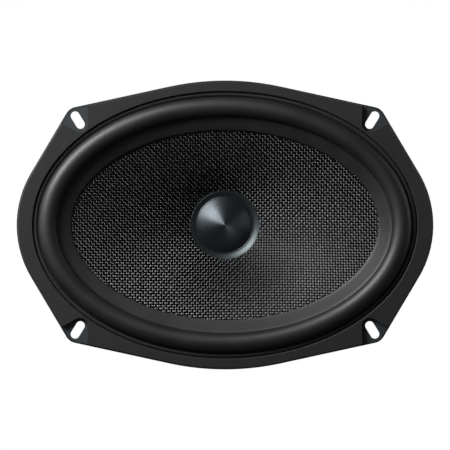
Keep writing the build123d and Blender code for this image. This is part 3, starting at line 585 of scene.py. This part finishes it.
def bowlPoints(shares, shift, steps):
    turn = np.linspace(0, 2 * np.pi, steps + 1)
    shares = np.array(shares)[:, None]
    points = np.empty((len(shares), steps + 1, 3))
    points[..., 0] = (mouthHalfWidth + (neckRadius - mouthHalfWidth) * shares) * np.cos(turn)
    points[..., 1] = coneDepth(shares) + shift
    points[..., 2] = (mouthHalfHeight + (neckRadius - mouthHalfHeight) * shares) * np.sin(turn)
    return points


def makeConeBowl():
    # A grid rolled round the axis, down the front of the bowl and back up its rear
    down = list(np.linspace(0, 1, cone["rings"]))
    rows = 2 * len(down) + 1
    deselectAll()
    bpy.ops.mesh.primitive_grid_add(x_subdivisions=cone["steps"], y_subdivisions=rows - 1, size=1)
    bowl = bpy.context.object
    front = bowlPoints(down, cone["backGap"], cone["steps"])
    rear = bowlPoints(down[::-1], cone["backGap"] + cone["wall"], cone["steps"])
    points = np.concatenate((front, rear, front[:1]))
    bowl.data.vertices.foreach_set("co", points.ravel())
    bowl.data.update()
    editAll()
    bpy.ops.mesh.remove_doubles(threshold=1e-6)
    bpy.ops.mesh.normals_make_consistent(inside=False)
    bpy.ops.object.mode_set(mode="OBJECT")
    return finishPiece(bowl, "coneBowl", coneBack, "cone_assembly", 50)


def makeConeRim():
    # Glue rim of the cone under the surround's inner lip
    front = flangeFront
    outer = -surround["rollWidth"] - glueRim["outset"]
    inner = -surround["rollWidth"] - surround["innerLip"] - glueRim["inset"]
    slope = surround["innerFall"] / surround["innerLip"]
    start = front + (-surround["rollWidth"] - outer) * slope + glueRim["gap"]
    end = front + (-surround["rollWidth"] - inner) * slope + glueRim["gap"]
    wall = cone["wall"]
    profile = [(outer, start), (inner, end), (inner, end + wall), (outer, start + wall), (outer, start)]
    rim = ovalPiece(profile, rollHalfWidth, rollHalfHeight, glueRim["steps"])
    return finishPiece(rim, "coneRim", coneBack, "cone_assembly", 30)


def makeYarns(name, upright, side, material):
    # A grid of strips draped on the bowl as waves; the faces between the yarns are then deleted
    long, across = (mouthHalfHeight, mouthHalfWidth) if upright else (mouthHalfWidth, mouthHalfHeight)
    pitch = cone["pitch"]
    yarns = int(across / pitch) + 1
    crossings = int(long / pitch) + 2
    along = np.arange(-crossings * cone["knots"], crossings * cone["knots"]) * pitch / cone["knots"]
    knots = len(along) - 1
    deselectAll()
    rows = 4 * yarns
    bpy.ops.mesh.primitive_grid_add(x_subdivisions=knots, y_subdivisions=rows - 1, size=1)
    cloth = bpy.context.object
    number = np.arange(rows) // 4
    place = np.array(cone["stripPlaces"])[np.arange(rows) % 4]
    middle = side * (number + 0.5) * pitch
    u, v = np.meshgrid(along, middle)
    spread = np.meshgrid(along, place)[1]
    index = np.meshgrid(along, side * (number + 0.5))[1]
    phase = math.pi * (u / pitch + index + (0 if upright else 1))
    lift = np.tanh(cone["floatFlatness"] * np.cos(phase)) / math.tanh(cone["floatFlatness"])
    width = cone["yarnHalf"] * (1 + cone["swell"] * lift)
    v = v + spread * width
    arch = cone["yarnArch"] * (1 - spread**2)
    rise = cone["wave"] * lift + arch - cone["sink"]
    x, z = (v, u) if upright else (u, v)
    bend, runs = cone["drift"], cone["driftRuns"]
    sideDrift = bend * np.sin(z / runs[0] + cone["driftPhase"]) * np.cos(x / runs[1])
    upDrift = bend * np.sin(x / runs[2]) * cone["driftUp"]
    x, z = x + sideDrift, z + upDrift
    share = coneShare(x, z)
    points = np.stack((x, coneDepth(share) - rise, z), axis=-1)
    cloth.data.vertices.foreach_set("co", points.ravel())
    # crown is high on a float's top and low where the yarn dives and at its edges; it paints shade there and
    # makes those places rougher
    crown = cloth.data.attributes.new("crown", "FLOAT", "POINT")
    crown.data.foreach_set("value", ((1 + lift) / 2 * (1 - cone["yarnEdgeShade"] * spread**2)).ravel())
    cloth.data.update()
    radius = np.hypot(x, z)
    keep = ((share > -cone["rimReach"]) & (radius > neckRadius + cone["neckGap"])).ravel()
    starts = (np.arange(rows) % 4)[:, None] + np.zeros(knots + 1)
    gapRow = (starts == 3).ravel()
    bpy.ops.object.mode_set(mode="EDIT")
    bpy.ops.mesh.select_mode(type="FACE")
    bpy.ops.mesh.select_all(action="DESELECT")
    bpy.ops.object.mode_set(mode="OBJECT")
    corners = np.empty(len(cloth.data.loops), np.int32)
    cloth.data.loops.foreach_get("vertex_index", corners)
    corners = corners.reshape(-1, 4)
    isGap = gapRow[corners.min(axis=1)]
    chosen = isGap | ~keep[corners].all(axis=1)
    cloth.data.polygons.foreach_set("select", chosen)
    bpy.ops.object.mode_set(mode="EDIT")
    bpy.ops.mesh.delete(type="FACE")
    bpy.ops.mesh.select_mode(type="VERT")
    bpy.ops.mesh.select_all(action="SELECT")
    bpy.ops.mesh.delete_loose()
    bpy.ops.object.mode_set(mode="OBJECT")
    first = cloth.data.polygons[0]
    if first.normal.y > 0:
        editAll()
        bpy.ops.mesh.flip_normals()
        bpy.ops.object.mode_set(mode="OBJECT")
    return finishPiece(cloth, name, material, "cone_assembly", 80)


coneBowl = makeConeBowl()
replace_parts(coneBowl, "cone")
makeConeRim()
for side, sideName in ((-1, "Left"), (1, "Right")):
    makeYarns("uprightYarns" + sideName, True, side, yarnUpright)
for side, sideName in ((-1, "Low"), (1, "High")):
    makeYarns("acrossYarns" + sideName, False, side, yarnAcross)
print("cone made")


# Hem round the edge of the basket's flange; its near-black colour is painted shade for the rounded edge
# turning away from the light

hem = {"width": 0.72 * mm, "proud": 0.10 * mm, "bead": 0.35 * mm, "frontCut": 0.2 * mm,
       "flatAngle": 0.5, "beadSteps": 3, "beadAngle": 60}


def makeHem():
    # The flange's outline is the hull of the basket's front plate, grown a little; its middle is cut out
    deselectAll()
    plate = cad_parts["basket"].copy()
    plate.data = plate.data.copy()
    bpy.context.collection.objects.link(plate)
    plate.parent = None
    bpy.context.view_layer.objects.active = plate
    plate.select_set(True)
    editAll()
    bpy.ops.mesh.remove_doubles(threshold=1e-6)
    bpy.ops.mesh.bisect(plane_co=(0, -hem["frontCut"], 0), plane_no=(0, 1, 0), clear_outer=True)
    bpy.ops.mesh.select_all(action="SELECT")
    bpy.ops.mesh.convex_hull()
    bpy.ops.mesh.select_all(action="SELECT")
    bpy.ops.mesh.dissolve_limited(angle_limit=math.radians(hem["flatAngle"]))
    bpy.ops.mesh.select_all(action="SELECT")
    bpy.ops.transform.shrink_fatten(value=hem["proud"])
    bpy.ops.mesh.select_mode(type="FACE")
    bpy.ops.mesh.select_all(action="DESELECT")
    bpy.ops.object.mode_set(mode="OBJECT")
    for face in plate.data.polygons:
        face.select = abs(face.normal.y) > 0.9
    bpy.ops.object.mode_set(mode="EDIT")
    bpy.ops.mesh.inset(thickness=hem["width"] + hem["proud"], depth=0)
    bpy.ops.mesh.delete(type="FACE")
    bpy.ops.object.mode_set(mode="OBJECT")
    bevel = plate.modifiers.new("roundEdge", "BEVEL")
    bevel.width = hem["bead"]
    bevel.segments = hem["beadSteps"]
    bevel.limit_method = "ANGLE"
    bevel.angle_limit = math.radians(hem["beadAngle"])
    bpy.ops.object.modifier_apply(modifier="roundEdge")
    return plate


flangeHem = makeHem()
finishPiece(flangeHem, "flangeHem", grainMaterials["hemEdgeShade"], "chassis", 30)
print("hem made")


# Tweeter: turned metal dome in its bezel ring

pod = {"steps": 192, "ringWidth": 3.0 * mm, "lipDepth": 1.3 * mm, "lipWall": 0.4 * mm,
       "lipBreak": 0.08 * mm, "slopeEnd": (0.75 * mm, 0.25 * mm), "crownEnd": (0.3 * mm, 0.08 * mm),
       "edge": 0.1 * mm, "edgeDepth": 0.12 * mm, "rebate": 1.1 * mm}
dome = {"bead": 0.28 * mm, "wall": 0.3 * mm, "edgeInset": 1.0 * mm, "footRise": 0.9 * mm,
        "rimWall": 0.4 * mm, "shoulder": 0.55, "bulge": 1.3 * mm, "tipHole": 0.02 * mm,
        "innerInset": 0.9 * mm, "rollDrop": 0.05 * mm}
bezelBox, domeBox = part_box("tweeter_bezel"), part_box("tweeter_dome")
podRadius = bezelBox[1][0]
bezelFront, bezelRear = bezelBox[0][1], bezelBox[1][1]
bezelInner = podRadius - pod["ringWidth"]
domeTip, domeRear = domeBox[0][1], domeBox[1][1]
domeRim = domeBox[1][0]
domeEdge = domeRim - dome["edgeInset"]


def bezierPoints(start, control, end, count):
    points = []
    for share in np.linspace(0, 1, count):
        a, b, c = (1 - share) ** 2, 2 * share * (1 - share), share**2
        points.append(tuple(a * start[k] + b * control[k] + c * end[k] for k in (0, 1)))
    return points


def makeBezel():
    lip, edge, rebate = bezelFront + pod["lipDepth"], pod["edge"], bezelInner + pod["rebate"]
    slopeEnd, crownEnd = pod["slopeEnd"], pod["crownEnd"]
    profile = [(bezelInner, lip + pod["lipWall"]), (bezelInner, lip + pod["lipBreak"]),
               (bezelInner + pod["lipBreak"], lip)]
    profile += [(podRadius - slopeEnd[0], bezelFront + slopeEnd[1]),
                (podRadius - crownEnd[0], bezelFront + crownEnd[1])]
    profile += arcPoints((podRadius - edge, bezelFront + pod["edgeDepth"]), (edge, edge), -100, 0, 7)
    profile += [(podRadius, bezelRear - edge), (podRadius - edge, bezelRear), (rebate, bezelRear),
                (rebate, lip + pod["lipWall"]), (bezelInner, lip + pod["lipWall"])]
    bezel = spunPiece(profile, pod["steps"])
    return finishPiece(bezel, "podBezel", bezelMetal, "chassis", 35)


def makeDome():
    foot, tip, bead = domeRear - dome["footRise"], dome["tipHole"], dome["bead"]
    shoulder, bulge = domeEdge * dome["shoulder"], domeTip + dome["bulge"]
    innerEdge = domeEdge - dome["innerInset"]
    crown = [(tip, domeTip)]
    crown += bezierPoints((tip, domeTip), (shoulder, bulge), (domeEdge - 2 * bead, foot), 26)[1:]
    roll = arcPoints((domeEdge - bead, foot + dome["rollDrop"]), (bead, bead), -170, 0, 9)
    rim = [(domeEdge, domeRear - dome["rimWall"]), (domeRim, domeRear - dome["rimWall"]),
           (domeRim, domeRear), (innerEdge, domeRear)]
    inner = bezierPoints((innerEdge, foot + dome["wall"]), (shoulder, bulge + dome["wall"]),
                         (tip, domeTip + dome["wall"]), 16)
    shell = spunPiece(crown + roll + rim + inner, pod["steps"])
    return finishPiece(shell, "tweeterDome", domeMetal, "tweeter_diaphragm", 40)


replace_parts(makeBezel(), "tweeter_bezel")
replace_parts(makeDome(), "tweeter_dome")
print("tweeter made")


# Tweeter's suspension film, clamped outside the dome's rim and free inside it

film = {"clamp": 0.45 * mm, "free": 0.1 * mm, "innerGap": 0.4 * mm, "steps": 160}
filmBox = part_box("tweeter_suspension")
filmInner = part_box("tweeter_coil_former")[1][0] + film["innerGap"]
freeStops = np.linspace(domeRim, domeRim + film["clamp"], 7)
filmStops = np.concatenate(([filmInner], freeStops, [filmBox[1][0]]))


def makeFilm():
    front, rear = filmBox[0][1], filmBox[1][1]
    profile = [(radius, front) for radius in filmStops] + [(radius, rear) for radius in filmStops[::-1]]
    cloth = spunPiece(profile + profile[:1], film["steps"])
    filmMaterial = grainMaterials["filmSuspension"]
    return finishPiece(cloth, "suspensionFilm", filmMaterial, None, 60)


filmPiece = makeFilm()
filmPlaces = vertexPlaces(filmPiece)
filmRadius = np.hypot(filmPlaces[:, 0], filmPlaces[:, 2])
filmShare = (domeRim + film["clamp"] - filmRadius) / (film["clamp"] - film["free"])
blendByShare(filmPiece, filmShare)
filmPiece.visible_shadow = False
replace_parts(filmPiece, "tweeter_suspension")
print("film made")


# Spider: corrugated cloth ring between the basket's shelf and the voice coil former

spider = {"thickness": 0.45 * mm, "folds": 12, "height": 1.3 * mm, "collar": 1.8 * mm, "landing": 4.6 * mm,
          "perFold": 6, "neckGap": 0.05 * mm, "steps": 160}
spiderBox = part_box("spider")
spiderOuter, spiderMiddle = spiderBox[1][0], (spiderBox[0][1] + spiderBox[1][1]) / 2
foldStart, foldEnd = neckRadius + spider["collar"], spiderOuter - spider["landing"]


def makeSpider():
    half = spider["thickness"] / 2
    count = spider["folds"] * spider["perFold"]
    line = [(neckRadius + spider["neckGap"], 0)]
    for knot in range(count + 1):
        radius = foldStart + (foldEnd - foldStart) * knot / count
        line.append((radius, -spider["height"] * math.sin(math.pi * knot / spider["perFold"])))
    line.append((spiderOuter, 0))
    front = [(radius, spiderMiddle + wave - half) for radius, wave in line]
    rear = [(radius, spiderMiddle + wave + half) for radius, wave in reversed(line)]
    cloth = spunPiece(front + rear + front[:1], spider["steps"])
    return finishPiece(cloth, "spiderCloth", spiderCloth, None, 60)


spiderPiece = makeSpider()
spiderPlaces = vertexPlaces(spiderPiece)
spiderRadius = np.hypot(spiderPlaces[:, 0], spiderPlaces[:, 2])
blendByShare(spiderPiece, (foldEnd - spiderRadius) / (foldEnd - foldStart))
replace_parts(spiderPiece, "spider")
print("spider made")


# Voice coil winding: a layer of round wire, turn by turn

coil = {"turns": 36, "wireAngles": (0.35, 0.95, 1.57, 2.19, 2.79), "steps": 128}
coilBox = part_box("voice_coil_winding")


def makeWinding():
    inner, outer = neckRadius, coilBox[1][0]
    start, end = coilBox[0][1], coilBox[1][1]
    pitch = (end - start) / coil["turns"]
    profile = [(inner, start)]
    for turn in range(coil["turns"]):
        centre = (outer - pitch / 2, start + (turn + 0.5) * pitch)
        profile += [(centre[0] + pitch / 2 * math.sin(a), centre[1] - pitch / 2 * math.cos(a))
                    for a in coil["wireAngles"]]
    profile += [(inner, end), (inner, start)]
    return spunPiece(profile, coil["steps"])


winding = makeWinding()
finishPiece(winding, "coilTurns", coilCopper, "cone_assembly", 50)
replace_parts(winding, "voice_coil_winding")
print("winding made")


# Tinsel leads: braided strands from the terminal rivets to the pads on the cone's neck

lead = {"strands": 7, "strandRadius": 0.27 * mm, "layRadius": 0.47 * mm, "twist": 5.5 * mm, "perTwist": 10}
leadRoute = [(9.5, 37.5, -60), (9.5, 33, -60), (10.1, 29.3, -56.4), (10.2, 29.8, -50), (9.7, 31.6, -44.4),
             (9.9, 31.4, -38), (9.6, 32.5, -31.6), (8.35, 32.6, -22.93), (5.95, 32.6, -16.35)]
tinselMaterial = grainMaterial("tinsel", {"grain": 3000, "dark": (0.42, 0.36, 0.28),
                                          "light": (0.66, 0.60, 0.5), "roughness": (0.3, 0.45),
                                          "bump": 0.00004, "metallic": 1})


def routePlaces(points):
    # The route's own smooth line, read back from a NURBS curve with no thickness
    curve = bpy.data.curves.new("leadRoute", "CURVE")
    curve.dimensions = "3D"
    spline = curve.splines.new("NURBS")
    spline.points.add(len(points) - 1)
    for point, place in zip(spline.points, points):
        point.co = (*place, 1)
    spline.order_u = 3
    spline.use_endpoint_u = True
    spline.resolution_u = 24
    holder = bpy.data.objects.new("leadRoute", curve)
    line = bpy.data.meshes.new_from_object(holder)
    places = np.array([vertex.co[:] for vertex in line.vertices])
    bpy.data.objects.remove(holder)
    bpy.data.meshes.remove(line)
    return places


def makeLead(name, side):
    places = routePlaces([(side * x * mm, y * mm, z * mm) for x, y, z in leadRoute])
    run = np.concatenate(([0], np.cumsum(np.linalg.norm(np.diff(places, axis=0), axis=1))))
    count = int(run[-1] / lead["twist"] * lead["perTwist"])
    along = np.linspace(0, run[-1], count)
    centre = np.column_stack([np.interp(along, run, places[:, k]) for k in range(3)])
    forward = np.gradient(centre, axis=0)
    forward /= np.linalg.norm(forward, axis=1)[:, None]
    sideways = np.cross(forward, (1.0, 0, 0))
    sideways /= np.linalg.norm(sideways, axis=1)[:, None]
    upward = np.cross(forward, sideways)
    strands = bpy.data.curves.new(name, "CURVE")
    strands.dimensions = "3D"
    strands.bevel_depth = lead["strandRadius"]
    strands.bevel_resolution = 1
    strands.use_fill_caps = True
    for strand in range(lead["strands"]):
        turn = 2 * np.pi * (along / lead["twist"] + strand / (lead["strands"] - 1))
        reach = lead["layRadius"] if strand < lead["strands"] - 1 else 0
        path = centre + reach * (np.cos(turn)[:, None] * sideways + np.sin(turn)[:, None] * upward)
        spline = strands.splines.new("POLY")
        spline.points.add(count - 1)
        spline.points.foreach_set("co", np.column_stack((path, np.ones(count))).ravel())
    holder = bpy.data.objects.new(name, strands)
    bpy.context.collection.objects.link(holder)
    deselectAll()
    holder.select_set(True)
    bpy.context.view_layer.objects.active = holder
    bpy.ops.object.convert(target="MESH")
    piece = finishPiece(bpy.context.object, name, tinselMaterial, None, 60)
    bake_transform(piece)
    return piece


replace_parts(makeLead("tinselPositive", 1), "tinsel_lead_positive")
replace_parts(makeLead("tinselNegative", -1), "tinsel_lead_negative")
print("tinsel leads made")


# The pod's own shadow on the cone is kept out of the light, as under a wide studio ring
for pieceName in ("podBezel", "tweeterDome"):
    bpy.data.objects[pieceName].visible_shadow = False
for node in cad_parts:
    if node.startswith("tweeter_") and "lead" not in node:
        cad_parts[node].visible_shadow = False


# Stage and light

stage = {"drop": 0.6, "floor": 6.0, "floorTone": 0.8, "floorRoughness": 0.9,
         "keyPlace": (-0.52, -0.44, 0.46), "keySize": (0.5, 0.35),
         "keyPower": 10.5, "fillPlace": (-0.35, -1.5, 0.4), "fillSize": 0.8, "fillPower": 0.6,
         "worldTone": 0.05, "roomColour": (0.9, 0.95, 1, 1), "floorSun": 3.4, "sunAngle": 0.5,
         "sunTurn": (0.3, -0.3, 0), "rearPower": 10, "rearSize": 1.1,
         "rearLights": (("rearLight", (0.7, 1.0, 0.9), 1.2), ("rearFill", (-0.9, 0.9, 0.2), 0.8),
                        ("sideLight", (1.3, 0.35, 0.35), 1.0), ("sideFill", (-1.3, 0.35, 0.3), 0.8),
                        ("underFill", (0.3, 0.7, -0.5), 0.35))}
bpy.ops.mesh.primitive_plane_add(size=stage["floor"], location=(0, 0, cadBounds[0][2] - stage["drop"]))
floor = bpy.context.object
floor.name = "floor"
floorMaterial, *_, floorShader = startMaterial("floorPaper")
floorShader.inputs["Base Color"].default_value = (*(stage["floorTone"],) * 3, 1)
floorShader.inputs["Roughness"].default_value = stage["floorRoughness"]
floor.data.materials.append(floorMaterial)
floor.visible_diffuse = False
floor.visible_glossy = False


def areaLight(name, place, size, power, towards=(0, 0, 0)):
    light = bpy.data.lights.new(name, "AREA")
    light.shape = "RECTANGLE"
    light.size, light.size_y = size
    light.energy = power
    holder = bpy.data.objects.new(name, light)
    holder.location = place
    holder.rotation_euler = (Vector(towards) - Vector(place)).to_track_quat("-Z", "Y").to_euler()
    bpy.context.collection.objects.link(holder)
    return holder


keyOut = Vector(stage["keyPlace"])
across = keyOut.cross(Vector((0, 1, 0))).normalized()
keyFacing = Matrix((across, keyOut.cross(across).normalized(), keyOut.normalized())).transposed().to_euler()
softbox = areaLight("keyLight", stage["keyPlace"], stage["keySize"], stage["keyPower"])
softbox.rotation_euler = keyFacing
areaLight("fillLight", stage["fillPlace"], (stage["fillSize"],) * 2, stage["fillPower"])
for name, place, share in stage["rearLights"]:
    areaLight(name, place, (stage["rearSize"],) * 2, stage["rearPower"] * share)

# A sun for the floor alone keeps it pale from every side
floorOnly = bpy.data.collections.new("floorOnly")
floorOnly.objects.link(floor)
sun = bpy.data.lights.new("floorSun", "SUN")
sun.energy = stage["floorSun"]
sun.angle = stage["sunAngle"]
sunHolder = bpy.data.objects.new("floorSun", sun)
sunHolder.rotation_euler = stage["sunTurn"]
bpy.context.collection.objects.link(sunHolder)
sunHolder.light_linking.receiver_collection = floorOnly

world = bpy.data.worlds.new("studio")
bpy.context.scene.world = world
world.use_nodes = True
worldNodes, worldLinks = world.node_tree.nodes, world.node_tree.links
paper = worldNodes["Background"]
paper.inputs["Color"].default_value = (1, 1, 1, 1)
room = worldNodes.new("ShaderNodeBackground")
room.inputs["Color"].default_value = stage["roomColour"]
room.inputs["Strength"].default_value = stage["worldTone"]
seen = worldNodes.new("ShaderNodeLightPath")
either = worldNodes.new("ShaderNodeMixShader")
worldLinks.new(seen.outputs["Is Camera Ray"], either.inputs[0])
worldLinks.new(room.outputs[0], either.inputs[1])
worldLinks.new(paper.outputs[0], either.inputs[2])
worldLinks.new(either.outputs[0], worldNodes["World Output"].inputs[0])
